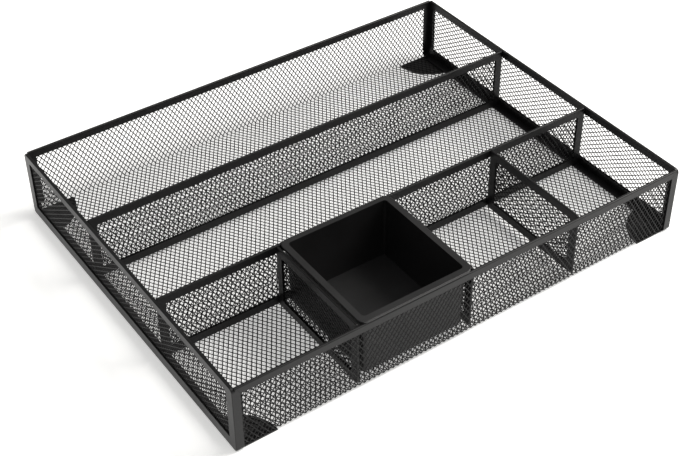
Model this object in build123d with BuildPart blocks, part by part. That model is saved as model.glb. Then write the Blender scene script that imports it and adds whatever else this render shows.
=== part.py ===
from build123d import *
from math import atan, degrees
import os

# Black wire-mesh drawer organizer: a bent mesh tray between two framed end
# panels, five framed dividers, and one lift-out moulded bin.
# Millimetres. +X runs along the long side, the front is at -Y, +Z is up, and
# the origin is the middle of the footprint on the surface it stands on.

os.makedirs("parts", exist_ok=True)

# ---------------------------------------------------------------- sizes
width = 387.0            # outside, along X
depth = 302.0            # outside, along Y
rail_top = 57.4          # top of every rail
frame_base = 0.5         # underside of the frames, just off the surface

sheet = 0.8              # frame sheet thickness
thin = 0.6               # folded inner legs
mesh_t = 0.8             # thickness of the mesh sheets
slot = 1.0               # room for a mesh sheet between two legs
leg = 6.0                # height of the folded legs under the rail tops
side_leg = 7.5           # width of an end frame's posts
base_leg = 8.6           # height of an end frame's lower band
wrap = 8.5               # how far an end's binding wraps on to the tray
wrap_out = 6.3           # and its outer layer
notch = 8.0              # the inner layer stops this far from the bends
bind_t = 0.4             # fold that joins a binding's two layers
bend_r = 2.5             # outside radius of the frames at the floor
top_r = 3.2              # outside radius of the frames at the top
strap_drop = 1.6         # top of a corner strap below the rail top
rail_round = 0.9         # rounding of the folded rail edges

bay_y = 50.3             # long dividers at +/- this
bay_x = 96.0             # short dividers at -bay_x, 0 and +bay_x
div_t = 2.0              # divider frame thickness
div_leg = 6.5            # divider frame height
div_slot = 0.9
div_base = 3.5           # underside of the dividers
div_corner = 2.5         # outside radius of a divider's lower corners
div_top_corner = 1.5
div_window = 1.2         # radius of a divider's window corners

foot_r = 32.5            # corner pads: quarter discs about the outer corners
foot_base_t = 0.45
foot_top = 1.25

flange_x, flange_y = 93.8, 100.5  # bin flange, outside
bin_x, bin_y = -47.5, -100.45     # centre of the flange
flange_z0, flange_z1 = 57.7, 59.2
flange_r = 6.0
body_x, body_y = 87.9, 94.5       # bin body just under the flange
body_dx, body_dy = -0.05, 0.3     # body centre from the flange centre
body_r = 4.5
bin_base_z = 7.0
bin_draft = 1.5                   # per side, over the body's height
bin_wall = 2.0
bin_floor_t = 2.2
bin_inner_r = 2.5

# ---------------------------------------------------------------- derived
half_w, half_d = width / 2, depth / 2
mid_z = (rail_top + frame_base) / 2
frame_h = rail_top - frame_base
mesh_in = sheet + (slot - mesh_t) / 2          # outer face of a mesh sheet
leg2 = sheet + slot                            # outer face of an inner leg
leg2_in = leg2 + thin                          # inner face of an inner leg
rail_x = half_w - leg2_in - 0.1                # rails and long dividers end here
tray_x = rail_x - bind_t                       # the tray's mesh ends here


def panel_outline(inset):
    """End-panel outline, drawn inwards by inset, centred on its own origin."""
    with BuildSketch() as s:
        Rectangle(depth - 2 * inset, frame_h - 2 * inset)
        fillet(s.vertices().group_by(Axis.Y)[0], max(bend_r - inset, 0.6))
        fillet(s.vertices().group_by(Axis.Y)[-1], max(top_r - inset, 0.6))
    return s.sketch


def divider_outline(length, inset):
    """Divider outline, drawn inwards by inset, centred on its own origin."""
    h = rail_top - div_base
    with BuildSketch() as s:
        Rectangle(length - 2 * inset, h - 2 * inset)
        if inset >= div_leg:
            fillet(s.vertices(), div_window)
        else:
            fillet(s.vertices().group_by(Axis.Y)[0], div_corner - inset)
            fillet(s.vertices().group_by(Axis.Y)[-1], max(div_top_corner - inset, 0.5))
    return s.sketch


def strap_outline(inset):
    """The same outline with its sides running straight up to the top."""
    with BuildSketch() as s:
        Rectangle(depth - 2 * inset, frame_h - 2 * inset)
        fillet(s.vertices().group_by(Axis.Y)[0], max(bend_r - inset, 0.3))
    return s.sketch


strap_0 = strap_outline(0)
strap_sheet = strap_outline(sheet)
strap_leg2 = strap_outline(leg2)
strap_leg2_in = strap_outline(leg2_in)
outline_0 = panel_outline(0)
outline_sheet = panel_outline(sheet)
outline_mesh = panel_outline(mesh_in)

with BuildSketch() as end_window:
    with Locations((0, (base_leg - leg) / 2)):
        Rectangle(depth - 2 * side_leg, frame_h - leg - base_leg)
    fillet(end_window.vertices(), 0.8)

# ---------------------------------------------------------------- tray
# One mesh sheet bent into front wall, floor and back wall.
tray_top = rail_top - sheet - 0.2
tray_y = half_d - mesh_in
tray_z = frame_base + mesh_in
with BuildPart() as mesh_tray:
    with BuildSketch(Plane.YZ) as tray_section:
        with Locations((0, (tray_z + tray_top) / 2)):
            Rectangle(2 * tray_y, tray_top - tray_z)
        fillet(tray_section.vertices().group_by(Axis.Y)[0], bend_r - mesh_in)
    extrude(amount=tray_x, both=True)
    with BuildSketch(Plane.YZ) as tray_hollow:
        with Locations((0, (tray_z + mesh_t + tray_top + 5) / 2)):
            Rectangle(2 * (tray_y - mesh_t), tray_top + 5 - tray_z - mesh_t)
        fillet(tray_hollow.vertices().group_by(Axis.Y)[0], bend_r - mesh_in - mesh_t)
    extrude(amount=tray_x, both=True, mode=Mode.SUBTRACT)
mesh_tray.part.label = "mesh_tray"
export_step(mesh_tray.part, "parts/mesh_tray.step")

# ---------------------------------------------------------------- end panels
# A folded channel loop grips the end mesh. A folded binding grips the side
# edge of the tray: up the front, under the floor and up the back.
strap_x = -half_w + leg2_in            # the binding starts here
strap_w = wrap - leg2_in
strap_out = wrap_out - leg2_in
strap_z = rail_top - strap_drop

with BuildPart() as left_end_frame:
    with BuildSketch(Plane.YZ.offset(-half_w)):
        with Locations((0, mid_z)):
            add(outline_0)
            add(end_window.sketch, mode=Mode.SUBTRACT)
    extrude(amount=leg2_in)
    with BuildSketch(Plane.YZ.offset(-half_w + sheet)):
        with Locations((0, mid_z)):
            add(outline_sheet)
    extrude(amount=slot, mode=Mode.SUBTRACT)
    fillet(left_end_frame.faces().sort_by(Axis.X)[0].outer_wire().edges(), 0.6)
left_end_frame.part.label = "left_end_frame"
export_step(left_end_frame.part, "parts/left_end_frame.step")

with BuildPart() as right_end_frame:
    mirror(left_end_frame.part, about=Plane.YZ)
right_end_frame.part.label = "right_end_frame"
export_step(right_end_frame.part, "parts/right_end_frame.step")

with BuildPart() as left_end_binding:
    # the fold, the inner layer and the outer layer, open at the top
    with BuildSketch(Plane.YZ.offset(strap_x)):
        with Locations((0, mid_z)):
            add(strap_0)
            add(strap_leg2_in, mode=Mode.SUBTRACT)
    extrude(amount=bind_t)
    with BuildSketch(Plane.YZ.offset(strap_x)):
        with Locations((0, mid_z)):
            add(strap_leg2)
            add(strap_leg2_in, mode=Mode.SUBTRACT)
    extrude(amount=strap_w)
    with BuildSketch(Plane.XZ):
        with Locations((strap_x, rail_top)):
            Rectangle(4 * wrap, 2 * (leg + 0.2))
    extrude(amount=depth, both=True, mode=Mode.SUBTRACT)
    # the inner layer is notched at the two bends
    with BuildSketch(Plane.YZ.offset(strap_x + bind_t)):
        with Locations((half_d - notch / 2, frame_base + notch / 2), (-half_d + notch / 2, frame_base + notch / 2)):
            Rectangle(notch, notch)
    extrude(amount=strap_w, mode=Mode.SUBTRACT)
    with BuildSketch(Plane.YZ.offset(strap_x)):
        with Locations((0, mid_z)):
            add(strap_0)
            add(strap_sheet, mode=Mode.SUBTRACT)
    extrude(amount=strap_out)
    # rounded upper ends of the outer layer
    with BuildSketch(Plane.XZ):
        with BuildLine():
            Polyline(
                (strap_x + strap_out, strap_z - strap_out),
                (strap_x + strap_out + 2, strap_z - strap_out),
                (strap_x + strap_out + 2, rail_top + 2),
                (strap_x - 1, rail_top + 2),
                (strap_x - 1, strap_z),
                (strap_x, strap_z),
            )
            RadiusArc((strap_x, strap_z), (strap_x + strap_out, strap_z - strap_out), strap_out)
        make_face()
    extrude(amount=depth, both=True, mode=Mode.SUBTRACT)
left_end_binding.part.label = "left_end_binding"
export_step(left_end_binding.part, "parts/left_end_binding.step")

with BuildPart() as right_end_binding:
    mirror(left_end_binding.part, about=Plane.YZ)
right_end_binding.part.label = "right_end_binding"
export_step(right_end_binding.part, "parts/right_end_binding.step")

with BuildPart() as left_end_mesh:
    with BuildSketch(Plane.YZ.offset(-half_w + mesh_in)):
        with Locations((0, mid_z)):
            add(outline_mesh)
    extrude(amount=mesh_t)
left_end_mesh.part.label = "left_end_mesh"
export_step(left_end_mesh.part, "parts/left_end_mesh.step")

with BuildPart() as right_end_mesh:
    mirror(left_end_mesh.part, about=Plane.YZ)
right_end_mesh.part.label = "right_end_mesh"
export_step(right_end_mesh.part, "parts/right_end_mesh.step")

# ---------------------------------------------------------------- top rails
# Folded channels over the upper edges of the tray's two walls.
with BuildPart() as front_top_rail:
    with BuildSketch(Plane.YZ):
        with Locations((-half_d + leg2_in / 2, rail_top - leg / 2)):
            Rectangle(leg2_in, leg)
        with Locations((-half_d + sheet + slot / 2, rail_top - sheet - leg / 2)):
            Rectangle(slot, leg, mode=Mode.SUBTRACT)
    extrude(amount=rail_x, both=True)
    fillet(front_top_rail.edges().filter_by(Axis.X).group_by(Axis.Z)[-1], rail_round)
    # the outer leg stops short of the corner straps
    with BuildSketch(Plane.XZ.offset(half_d - sheet)):
        with BuildLine():
            gap = strap_out + 0.15
            Polyline(
                (strap_x + gap, strap_z - strap_out),
                (strap_x + gap, rail_top - leg - 2),
                (strap_x - 2, rail_top - leg - 2),
                (strap_x - 2, strap_z + 0.15),
                (strap_x, strap_z + 0.15),
            )
            RadiusArc((strap_x, strap_z + 0.15), (strap_x + gap, strap_z - strap_out), gap)
        make_face()
        mirror(about=Plane.YZ)
    extrude(amount=sheet + 1, mode=Mode.SUBTRACT)
front_top_rail.part.label = "front_top_rail"
export_step(front_top_rail.part, "parts/front_top_rail.step")

with BuildPart() as back_top_rail:
    mirror(front_top_rail.part, about=Plane.XZ)
back_top_rail.part.label = "back_top_rail"
export_step(back_top_rail.part, "parts/back_top_rail.step")

# ---------------------------------------------------------------- long dividers
long_l = 2 * rail_x
long_outer = divider_outline(long_l, 0)
long_window = divider_outline(long_l, div_leg)
long_slot = divider_outline(long_l, thin)
long_mesh = divider_outline(long_l, thin + 0.1)
div_mid_z = (rail_top + div_base) / 2

with BuildPart() as rear_divider_frame:
    with BuildSketch(Plane.XZ.offset(-bay_y)):
        with Locations((0, div_mid_z)):
            add(long_outer)
            add(long_window, mode=Mode.SUBTRACT)
    extrude(amount=div_t / 2, both=True)
    with BuildSketch(Plane.XZ.offset(-bay_y)):
        with Locations((0, div_mid_z)):
            add(long_slot)
    extrude(amount=div_slot / 2, both=True, mode=Mode.SUBTRACT)
    fillet(rear_divider_frame.faces().sort_by(Axis.Y)[0].outer_wire().edges(), 0.5)
    fillet(rear_divider_frame.faces().sort_by(Axis.Y)[-1].outer_wire().edges(), 0.5)
rear_divider_frame.part.label = "rear_divider_frame"
export_step(rear_divider_frame.part, "parts/rear_divider_frame.step")

with BuildPart() as rear_divider_mesh:
    with BuildSketch(Plane.XZ.offset(-bay_y)):
        with Locations((0, div_mid_z)):
            add(long_mesh)
    extrude(amount=mesh_t / 2, both=True)
rear_divider_mesh.part.label = "rear_divider_mesh"
export_step(rear_divider_mesh.part, "parts/rear_divider_mesh.step")

with BuildPart() as front_divider_frame:
    mirror(rear_divider_frame.part, about=Plane.XZ)
front_divider_frame.part.label = "front_divider_frame"
export_step(front_divider_frame.part, "parts/front_divider_frame.step")

with BuildPart() as front_divider_mesh:
    mirror(rear_divider_mesh.part, about=Plane.XZ)
front_divider_mesh.part.label = "front_divider_mesh"
export_step(front_divider_mesh.part, "parts/front_divider_mesh.step")

# ---------------------------------------------------------------- short dividers
short_y0 = -half_d + leg2_in + 0.1
short_y1 = -bay_y - div_t / 2 - 0.1
short_l = short_y1 - short_y0
short_mid = (short_y0 + short_y1) / 2
short_outer = divider_outline(short_l, 0)
short_window = divider_outline(short_l, div_leg)
short_slot = divider_outline(short_l, thin)
short_mesh = divider_outline(short_l, thin + 0.1)

with BuildPart() as centre_divider_frame:
    with BuildSketch(Plane.YZ):
        with Locations((short_mid, div_mid_z)):
            add(short_outer)
            add(short_window, mode=Mode.SUBTRACT)
    extrude(amount=div_t / 2, both=True)
    with BuildSketch(Plane.YZ):
        with Locations((short_mid, div_mid_z)):
            add(short_slot)
    extrude(amount=div_slot / 2, both=True, mode=Mode.SUBTRACT)
    fillet(centre_divider_frame.faces().sort_by(Axis.X)[0].outer_wire().edges(), 0.5)
    fillet(centre_divider_frame.faces().sort_by(Axis.X)[-1].outer_wire().edges(), 0.5)
centre_divider_frame.part.label = "centre_divider_frame"
export_step(centre_divider_frame.part, "parts/centre_divider_frame.step")

with BuildPart() as centre_divider_mesh:
    with BuildSketch(Plane.YZ):
        with Locations((short_mid, div_mid_z)):
            add(short_mesh)
    extrude(amount=mesh_t / 2, both=True)
centre_divider_mesh.part.label = "centre_divider_mesh"
export_step(centre_divider_mesh.part, "parts/centre_divider_mesh.step")

with BuildPart() as left_divider_frame:
    with Locations((-bay_x, 0, 0)):
        add(centre_divider_frame.part)
left_divider_frame.part.label = "left_divider_frame"
export_step(left_divider_frame.part, "parts/left_divider_frame.step")

with BuildPart() as left_divider_mesh:
    with Locations((-bay_x, 0, 0)):
        add(centre_divider_mesh.part)
left_divider_mesh.part.label = "left_divider_mesh"
export_step(left_divider_mesh.part, "parts/left_divider_mesh.step")

with BuildPart() as right_divider_frame:
    with Locations((bay_x, 0, 0)):
        add(centre_divider_frame.part)
right_divider_frame.part.label = "right_divider_frame"
export_step(right_divider_frame.part, "parts/right_divider_frame.step")

with BuildPart() as right_divider_mesh:
    with Locations((bay_x, 0, 0)):
        add(centre_divider_mesh.part)
right_divider_mesh.part.label = "right_divider_mesh"
export_step(right_divider_mesh.part, "parts/right_divider_mesh.step")

# ---------------------------------------------------------------- corner pads
# A thin pad under the corner, stepped up into the opening inside the frame.
foot_x0 = -half_w + 1.0                # straight edges of the pad
foot_y0 = -half_d + 1.5
step_x0 = -half_w + wrap_out + 0.2     # the step clears the binding
with BuildPart() as foot_front_left:
    with BuildSketch():
        with Locations((-half_w, -half_d)):
            Circle(foot_r)
        with Locations((foot_x0 + foot_r / 2, foot_y0 + foot_r / 2)):
            Rectangle(foot_r, foot_r, mode=Mode.INTERSECT)
    extrude(amount=foot_base_t)
    with BuildSketch(Plane.XY.offset(foot_base_t)):
        with Locations((-half_w, -half_d)):
            Circle(foot_r)
        with Locations((step_x0 + foot_r / 2, foot_y0 + foot_r / 2)):
            Rectangle(foot_r, foot_r, mode=Mode.INTERSECT)
    extrude(amount=foot_top - foot_base_t)
foot_front_left.part.label = "foot_front_left"
export_step(foot_front_left.part, "parts/foot_front_left.step")

with BuildPart() as foot_front_right:
    mirror(foot_front_left.part, about=Plane.YZ)
foot_front_right.part.label = "foot_front_right"
export_step(foot_front_right.part, "parts/foot_front_right.step")

with BuildPart() as foot_back_left:
    mirror(foot_front_left.part, about=Plane.XZ)
foot_back_left.part.label = "foot_back_left"
export_step(foot_back_left.part, "parts/foot_back_left.step")

with BuildPart() as foot_back_right:
    mirror(foot_front_right.part, about=Plane.XZ)
foot_back_right.part.label = "foot_back_right"
export_step(foot_back_right.part, "parts/foot_back_right.step")

# ---------------------------------------------------------------- lift-out bin
body_h = flange_z0 - bin_base_z
draft = degrees(atan(bin_draft / body_h))
cavity_h = flange_z1 - (bin_base_z + bin_floor_t)
with BuildPart() as bin_tray:
    with BuildSketch(Plane.XY.offset(flange_z0)) as body_sketch:
        with Locations((bin_x + body_dx, bin_y + body_dy)):
            RectangleRounded(body_x, body_y, body_r)
    extrude(amount=-body_h, taper=draft)
    fillet(bin_tray.edges().group_by(Axis.Z)[0], 1.5)
    with BuildSketch(Plane.XY.offset(flange_z0)):
        with Locations((bin_x, bin_y)):
            RectangleRounded(flange_x, flange_y, flange_r)
    extrude(amount=flange_z1 - flange_z0)
    with BuildSketch(Plane.XY.offset(flange_z1)):
        with Locations((bin_x + body_dx, bin_y + body_dy)):
            RectangleRounded(body_x - 2 * bin_wall, body_y - 2 * bin_wall, bin_inner_r)
    extrude(amount=-cavity_h, taper=draft, mode=Mode.SUBTRACT)
    fillet(bin_tray.faces().sort_by(Axis.Z)[-1].outer_wire().edges(), 0.5)
bin_tray.part.label = "bin"
export_step(bin_tray.part, "parts/bin.step")
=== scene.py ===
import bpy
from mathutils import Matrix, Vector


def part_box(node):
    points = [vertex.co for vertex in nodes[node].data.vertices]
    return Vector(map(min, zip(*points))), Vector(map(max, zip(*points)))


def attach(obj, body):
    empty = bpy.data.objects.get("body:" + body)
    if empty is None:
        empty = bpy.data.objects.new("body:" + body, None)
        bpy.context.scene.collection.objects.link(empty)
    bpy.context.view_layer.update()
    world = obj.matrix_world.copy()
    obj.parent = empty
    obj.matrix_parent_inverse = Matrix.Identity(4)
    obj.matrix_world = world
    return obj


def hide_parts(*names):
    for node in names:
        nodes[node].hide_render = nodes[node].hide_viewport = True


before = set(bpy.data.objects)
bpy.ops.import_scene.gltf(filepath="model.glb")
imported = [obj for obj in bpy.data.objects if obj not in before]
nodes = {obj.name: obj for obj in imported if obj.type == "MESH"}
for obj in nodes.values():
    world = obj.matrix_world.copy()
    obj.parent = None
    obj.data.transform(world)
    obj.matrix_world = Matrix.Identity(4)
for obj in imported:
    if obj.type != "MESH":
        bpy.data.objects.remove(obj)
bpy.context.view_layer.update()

import math

import bmesh
import bpy
import numpy as np
from mathutils import Matrix, Vector

MM = 0.001
scene = bpy.context.scene

# ------------------------------------------------------------ sizes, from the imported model
tray_lo, tray_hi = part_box("mesh_tray")
end_lo, end_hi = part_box("left_end_mesh")
frame_lo, frame_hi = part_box("left_end_frame")
TX = tray_hi.x / MM                    # the tray's mesh runs to +/- this
TY = tray_hi.y / MM                    # outer face of its walls
TZ0 = tray_lo.z / MM                   # underside of its floor
TZ1 = tray_hi.z / MM                   # top edge of its walls
SHEET = 0.8                            # thickness of the closed sheets that it replaces
BEND = 1.6                             # their outside bend radius

# the mesh: diamonds 4.0 mm wide and 6.1 mm long
CELL_A = 3.99
CELL_B = 6.10
STRAND = 0.70                          # strand width
THICK = 0.52                           # strand thickness


# ------------------------------------------------------------ materials
def coat(name, colour, rough, rough_spread, bump, speck, tone_spread=0.25, spec=0.5, grain=900.0, sheen_tint=None):
    """Powder coat or moulded plastic: fine orange peel, slight cloudiness and a roughness that varies."""
    m = bpy.data.materials.new(name)
    m.use_nodes = True
    nt = m.node_tree
    n, link = nt.nodes, nt.links
    n.clear()
    out = n.new("ShaderNodeOutputMaterial")
    b = n.new("ShaderNodeBsdfPrincipled")
    link.new(b.outputs[0], out.inputs[0])
    b.inputs["Specular IOR Level"].default_value = spec
    tc = n.new("ShaderNodeTexCoord")
    fine = n.new("ShaderNodeTexNoise")
    fine.inputs["Scale"].default_value = grain
    fine.inputs["Detail"].default_value = 3.0
    fine.inputs["Roughness"].default_value = 0.55
    link.new(tc.outputs["Object"], fine.inputs["Vector"])
    cloud = n.new("ShaderNodeTexNoise")
    cloud.inputs["Scale"].default_value = 38.0
    cloud.inputs["Detail"].default_value = 4.0
    link.new(tc.outputs["Object"], cloud.inputs["Vector"])
    ramp = n.new("ShaderNodeValToRGB")
    ramp.color_ramp.elements[0].position = 0.3
    ramp.color_ramp.elements[1].position = 0.75
    lo = [c * (1 - tone_spread) for c in colour]
    hi = [c * (1 + tone_spread) + speck for c in colour]
    ramp.color_ramp.elements[0].color = (*lo, 1)
    ramp.color_ramp.elements[1].color = (*hi, 1)
    mix = n.new("ShaderNodeMath")
    mix.operation = "MULTIPLY_ADD"
    link.new(fine.outputs[0], mix.inputs[0])
    mix.inputs[1].default_value = 0.5
    half = n.new("ShaderNodeMath")
    half.operation = "MULTIPLY"
    half.inputs[1].default_value = 0.5
    link.new(cloud.outputs[0], half.inputs[0])
    link.new(half.outputs[0], mix.inputs[2])
    link.new(mix.outputs[0], ramp.inputs[0])
    link.new(ramp.outputs[0], b.inputs["Base Color"])
    r = n.new("ShaderNodeMapRange")
    r.inputs["From Min"].default_value = 0.3
    r.inputs["From Max"].default_value = 0.7
    r.inputs["To Min"].default_value = rough - rough_spread
    r.inputs["To Max"].default_value = rough + rough_spread
    link.new(cloud.outputs[0], r.inputs["Value"])
    link.new(r.outputs[0], b.inputs["Roughness"])
    bp = n.new("ShaderNodeBump")
    bp.inputs["Strength"].default_value = bump
    bp.inputs["Distance"].default_value = 0.00012
    link.new(fine.outputs[0], bp.inputs["Height"])
    link.new(bp.outputs[0], b.inputs["Normal"])
    return m


frame_mat = coat("powder_coat_frames", (0.0062, 0.0059, 0.0062), 0.37, 0.05, 0.22, 0.0015, spec=0.30)
mesh_mat = coat("powder_coat_mesh", (0.0046, 0.0043, 0.0045), 0.42, 0.05, 0.10, 0.001, spec=0.17)
bin_mat = coat("moulded_plastic", (0.0095, 0.0092, 0.0095), 0.40, 0.04, 0.16, 0.0015, grain=1400.0)
foot_mat = coat("rubber_pad", (0.0100, 0.0095, 0.0095), 0.62, 0.06, 0.30, 0.002, grain=700.0)


def wear(o, material):
    o.data.materials.clear()
    o.data.materials.append(material)


# ------------------------------------------------------------ expanded mesh
def lattice(inside, u0, u1, v0, v1, a, b, pu=0.0, pv=0.0):
    """Centres of the whole diamonds that inside(u, v) accepts at all four corners."""
    p, q = a / 2, b / 2
    out = []
    i0, i1 = int(math.floor((u0 - pu) / p)), int(math.ceil((u1 - pu) / p))
    j0, j1 = int(math.floor((v0 - pv) / q)), int(math.ceil((v1 - pv) / q))
    for j in range(j0, j1 + 1):
        for i in range(i0, i1 + 1):
            if (i + j) % 2:
                continue
            u, v = pu + i * p, pv + j * q
            if all(inside(u + du, v + dv) for du, dv in ((p, 0), (-p, 0), (0, q), (0, -q))):
                out.append((i, j))
    return out


def strands(name, cells, place, a, b, pu=0.0, pv=0.0, long_u=False):
    """A mesh piece. place(u, v) gives a point on the middle surface and its normal. Each diamond
    hole is framed by half-strands with a rounded section; neighbours share the strand's ridge."""
    p, q = a / 2, b / 2
    d0 = p * q / math.hypot(p, q)
    hw = STRAND / 2
    # the bonds, at the ends of the long way, are thicker than the strands
    s_mid = (d0 - hw) / d0
    s_sh = (d0 - hw * 0.58) / d0
    bond = 0.22 / (b / 2 if not long_u else a / 2)
    ku, kv = (1.0 - bond, 1.0) if long_u else (1.0, 1.0 - bond)
    h = THICK / 2
    verts, faces = [], []
    ridge = {}

    def point(u, v, w):
        c, n = place(u, v)
        verts.append((c + n * w) * MM)
        return len(verts) - 1

    def ridge_at(i, j, side):
        k = (i, j, side)
        if k not in ridge:
            ridge[k] = point(pu + i * p, pv + j * q, side * h)
        return ridge[k]

    uvs = {}
    for i, j in cells:
        cu, cv = pu + i * p, pv + j * q
        corners = ((1, 0), (0, 1), (-1, 0), (0, -1))
        top = [ridge_at(i + x, j + y, 1) for x, y in corners]
        bot = [ridge_at(i + x, j + y, -1) for x, y in corners]
        st = [point(cu + x * p * s_sh * ku, cv + y * q * s_sh * kv, h * 0.80) for x, y in corners]
        md = [point(cu + x * p * s_mid * ku, cv + y * q * s_mid * kv, 0.0) for x, y in corners]
        sb = [point(cu + x * p * s_sh * ku, cv + y * q * s_sh * kv, -h * 0.80) for x, y in corners]
        for k in range(4):
            m = (k + 1) % 4
            faces.append((top[k], top[m], st[m], st[k]))
            faces.append((st[k], st[m], md[m], md[k]))
            faces.append((md[k], md[m], sb[m], sb[k]))
            faces.append((sb[k], sb[m], bot[m], bot[k]))
    me = bpy.data.meshes.new(name)
    me.from_pydata([tuple(v) for v in verts], [], faces)
    me.polygons.foreach_set("use_smooth", [True] * len(me.polygons))
    me.update()
    ob = bpy.data.objects.new(name, me)
    scene.collection.objects.link(ob)
    wear(ob, mesh_mat)
    return ob


def sheet_uv(ob, axes):
    """Its own map: the sheet laid flat, seen from one side."""
    me = ob.data
    co = np.empty(len(me.vertices) * 3, np.float32)
    me.vertices.foreach_get("co", co)
    co = co.reshape(-1, 3)[:, list(axes)]
    lo, hi = co.min(0), co.max(0)
    uv = 0.01 + 0.98 * (co - lo) / (hi - lo)
    idx = np.empty(len(me.loops), np.int32)
    me.loops.foreach_get("vertex_index", idx)
    layer = me.uv_layers.new(name="OFBake")
    layer.data.foreach_set("uv", uv[idx].astype(np.float32).ravel())


def rounded(u0, u1, v0, v1, r_low, r_high):
    """Test for a point inside a rectangle with rounded lower and upper corners."""
    def inside(u, v):
        if not (u0 <= u <= u1 and v0 <= v <= v1):
            return False
        r = r_low if v < (v0 + v1) / 2 else r_high
        cu = min(max(u, u0 + r), u1 - r)
        cv = min(max(v, v0 + r), v1 - r)
        if (u < u0 + r or u > u1 - r) and (v < v0 + r or v > v1 - r):
            return math.hypot(u - cu, v - cv) <= r
        return True
    return inside


EX, EY, EZ = Vector((1, 0, 0)), Vector((0, 1, 0)), Vector((0, 0, 1))

# the tray: one sheet, unrolled along the front wall, the floor and the back wall
mid = SHEET / 2
bend = BEND - mid                      # radius of the middle surface
wall_y = TY - mid
floor_z = TZ0 + mid
arc = bend * math.pi / 2
run_floor = 2 * (wall_y - bend)
run_wall = TZ1 - (floor_z + bend)


def tray_place(u, v):
    """v runs from 0 in the middle of the floor, positive towards the back and up the back wall."""
    s = 1.0 if v >= 0 else -1.0
    w = abs(v)
    if w <= run_floor / 2:
        return Vector((u, s * w, floor_z)), EZ.copy()
    w -= run_floor / 2
    if w <= arc:
        t = w / bend
        y = run_floor / 2 + bend * math.sin(t)
        z = floor_z + bend - bend * math.cos(t)
        return Vector((u, s * y, z)), Vector((0, -s * math.sin(t), math.cos(t)))
    w -= arc
    return Vector((u, s * wall_y, floor_z + bend + w)), Vector((0, -s, 0))


half_run = run_floor / 2 + arc + run_wall
TRAY_B = (run_floor + arc) / 49        # a row of corners runs along each bend
tray_cells = lattice(
    lambda u, v: abs(u) <= TX - 0.1 and abs(v) <= half_run - 0.1,
    -TX, TX, -half_run, half_run, CELL_A, TRAY_B, pu=0.6, pv=0.0,
)
q = TRAY_B / 2
cut = 50.3
groups = {"mesh_tray_front": [], "mesh_tray_middle": [], "mesh_tray_rear": []}
for i, j in tray_cells:
    v = j * q
    key = "mesh_tray_front" if v < -cut else "mesh_tray_rear" if v > cut else "mesh_tray_middle"
    groups[key].append((i, j))
for name, cells in groups.items():
    ob = strands(name, cells, tray_place, CELL_A, TRAY_B, pu=0.6, pv=0.0)
    sheet_uv(ob, (0, 1))
    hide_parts("mesh_tray")
    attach(ob, "organizer")

# the end walls and the dividers: flat sheets
flat = {
    "left_end_mesh": ("x", 1.6, 2.3, 0.4, 1.1),
    "right_end_mesh": ("x", 1.6, 2.3, -0.7, 0.3),
    "rear_divider_mesh": ("y", 1.8, 1.0, 0.9, 0.5),
    "front_divider_mesh": ("y", 1.8, 1.0, -0.5, 1.7),
    "left_divider_mesh": ("x", 1.8, 1.0, 1.3, 0.2),
    "centre_divider_mesh": ("x", 1.8, 1.0, -1.1, 0.8),
    "right_divider_mesh": ("x", 1.8, 1.0, 0.3, -0.6),
}
for node, (axis, r_low, r_high, pu, pv) in flat.items():
    lo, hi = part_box(node)
    lo, hi = lo / MM, hi / MM
    c = (lo + hi) / 2
    if axis == "x":
        u0, u1 = lo.y, hi.y
        a, b, long_u = CELL_B, CELL_A, True
        place = lambda u, v, c=c: (Vector((c.x, u, v)), EX.copy())
        axes = (1, 2)
    else:
        u0, u1 = lo.x, hi.x
        a, b, long_u = CELL_A, CELL_B, False
        place = lambda u, v, c=c: (Vector((u, c.y, v)), EY.copy())
        axes = (0, 2)
    inside = rounded(u0 + 0.1, u1 - 0.1, lo.z + 0.1, hi.z - 0.1, r_low, r_high)
    pu += (u0 + u1) / 2
    pv += c.z
    cells = lattice(inside, u0, u1, lo.z, hi.z, a, b, pu, pv)
    ob = strands(node + "_open", cells, place, a, b, pu, pv, long_u)
    sheet_uv(ob, axes)
    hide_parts(node)
    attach(ob, "organizer")

# ------------------------------------------------------------ frames, rails, pads and bin
for name, o in nodes.items():
    if o.hide_render:
        continue
    if name == "bin":
        wear(o, bin_mat)
    elif name.startswith("foot"):
        wear(o, foot_mat)
    else:
        wear(o, frame_mat)

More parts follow.
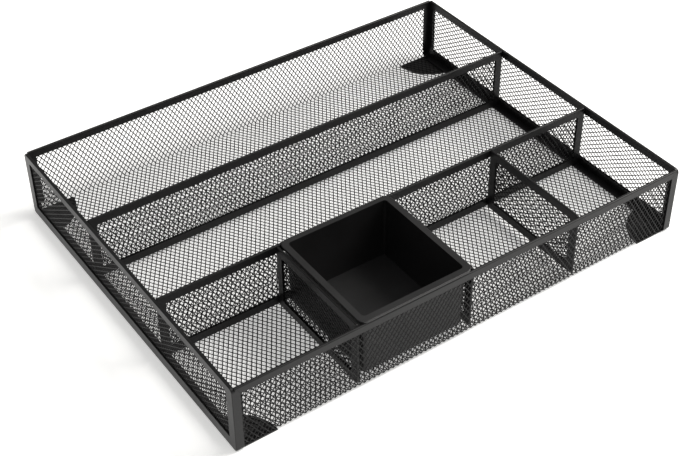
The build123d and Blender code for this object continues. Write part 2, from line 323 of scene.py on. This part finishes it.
# ------------------------------------------------------------ stage, light and camera
bpy.ops.mesh.primitive_plane_add(size=6.0, location=(0, 0, 0))
floor = bpy.context.object
floor.name = "studio_floor"
fm = bpy.data.materials.new("floor_white")
fm.use_nodes = True
fb = fm.node_tree.nodes["Principled BSDF"]
fb.inputs["Base Color"].default_value = (0.93, 0.93, 0.925, 1)
fb.inputs["Roughness"].default_value = 0.9
fb.inputs["Specular IOR Level"].default_value = 0.1
fb.inputs["Emission Color"].default_value = (1.0, 1.0, 0.99, 1)
fb.inputs["Emission Strength"].default_value = 0.38
floor.data.materials.append(fm)

world = bpy.data.worlds.new("studio")
scene.world = world
world.use_nodes = True
wn = world.node_tree
bg = wn.nodes["Background"]
bg.inputs[0].default_value = (1.0, 0.99, 0.97, 1)
bg.inputs[1].default_value = 0.30


def area(name, at, aim, size, power, colour=(1, 1, 1), spread=180):
    d = bpy.data.lights.new(name, "AREA")
    d.shape = "RECTANGLE"
    d.size, d.size_y = size
    d.energy = power
    d.color = colour
    d.spread = math.radians(spread)
    o = bpy.data.objects.new(name, d)
    scene.collection.objects.link(o)
    o.location = at
    o.rotation_euler = (Vector(aim) - Vector(at)).to_track_quat("-Z", "Y").to_euler()
    return o


area("key", (1.5, -0.4, 1.7), (0, 0, 0), (1.3, 1.3), 56.0, (1.0, 0.985, 0.96))
area("overhead", (-0.2, -0.6, 2.4), (0, 0, 0), (2.0, 2.0), 13.0)

cam_data = bpy.data.cameras.new("camera")
cam = bpy.data.objects.new("camera", cam_data)
scene.collection.objects.link(cam)
right = Vector((0.81905, -0.57367, -0.00699)).normalized()
fwd = Vector((0.44116, 0.63756, -0.63159)).normalized()
up = right.cross(fwd).normalized()
right = fwd.cross(up).normalized()
rot = Matrix((right, up, -fwd)).transposed()
cam.matrix_world = Matrix.Translation(Vector((-0.472573, -0.685358, 0.686979))) @ rot.to_4x4()
cam_data.sensor_width = 36.0
cam_data.sensor_fit = "HORIZONTAL"
cam_data.lens = 1395.857 / 679 * 36.0
cam_data.shift_x = -0.01607
cam_data.shift_y = -0.02424
cam_data.clip_start = 0.01
cam_data.clip_end = 20.0
scene.camera = cam
scene.view_settings.view_transform = "Standard"
scene.view_settings.look = "None"
